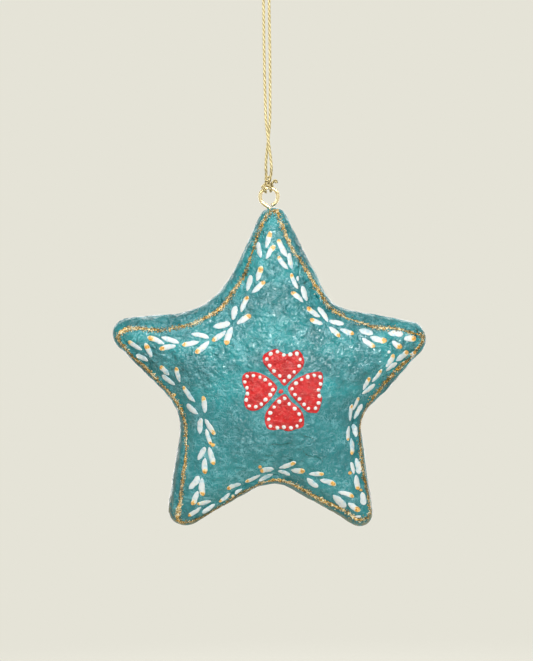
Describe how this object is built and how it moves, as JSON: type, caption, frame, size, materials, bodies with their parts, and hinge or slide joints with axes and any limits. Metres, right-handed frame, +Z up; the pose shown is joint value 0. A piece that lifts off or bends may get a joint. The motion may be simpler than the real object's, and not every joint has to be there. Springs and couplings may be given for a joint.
{
  "type": "star ornament",
  "caption": "Hollow papier mache star with puffed faces, hung by a wire eye from a loop of thin gold cord.",
  "frame": {"origin": "where a hook's wire bears, inside the top of the cord loop", "axes": "+Z up, from the star to the hook; the star lies in the XZ plane and its front faces -Y"},
  "size_m": [0.1001, 0.0298, 0.1792],
  "materials": {
    "lacquered_pulp": "hand painted and lacquered paper pulp, satin, finely wrinkled",
    "painted_strip": "pasted paper strip, painted and lacquered, satin",
    "peg_wood": "bare wood",
    "brass_wire": "bright",
    "gold_cord": "twisted metallic thread"
  },
  "bodies": {
    "hanging_loop": {"cord_loop": "gold_cord"},
    "knot": {"cord_knot": "gold_cord"},
    "hitch": {"cord_hitch": "gold_cord"},
    "star": {"front_shell": "lacquered_pulp", "back_shell": "lacquered_pulp", "seam_strip": "painted_strip", "tip_plug": "peg_wood", "screw_eye": "brass_wire"}
  },
  "joints": [
    {"name": "cord_twist", "type": "hinge", "parent": "hanging_loop", "child": "knot", "pos_m": [0, 0, -0.07], "axis": [0, 0, 1], "range_deg": [-180, 180]},
    {"name": "wire_tilt", "type": "hinge", "parent": "knot", "child": "hitch", "pos_m": [0, 0, -0.07], "axis": [1, 0, 0], "range_deg": [-90, 90]},
    {"name": "ring_swing", "type": "hinge", "parent": "hitch", "child": "star", "pos_m": [0, 0, -0.07285], "axis": [0, 1, 0], "range_deg": [-90, 90]}
  ]
}
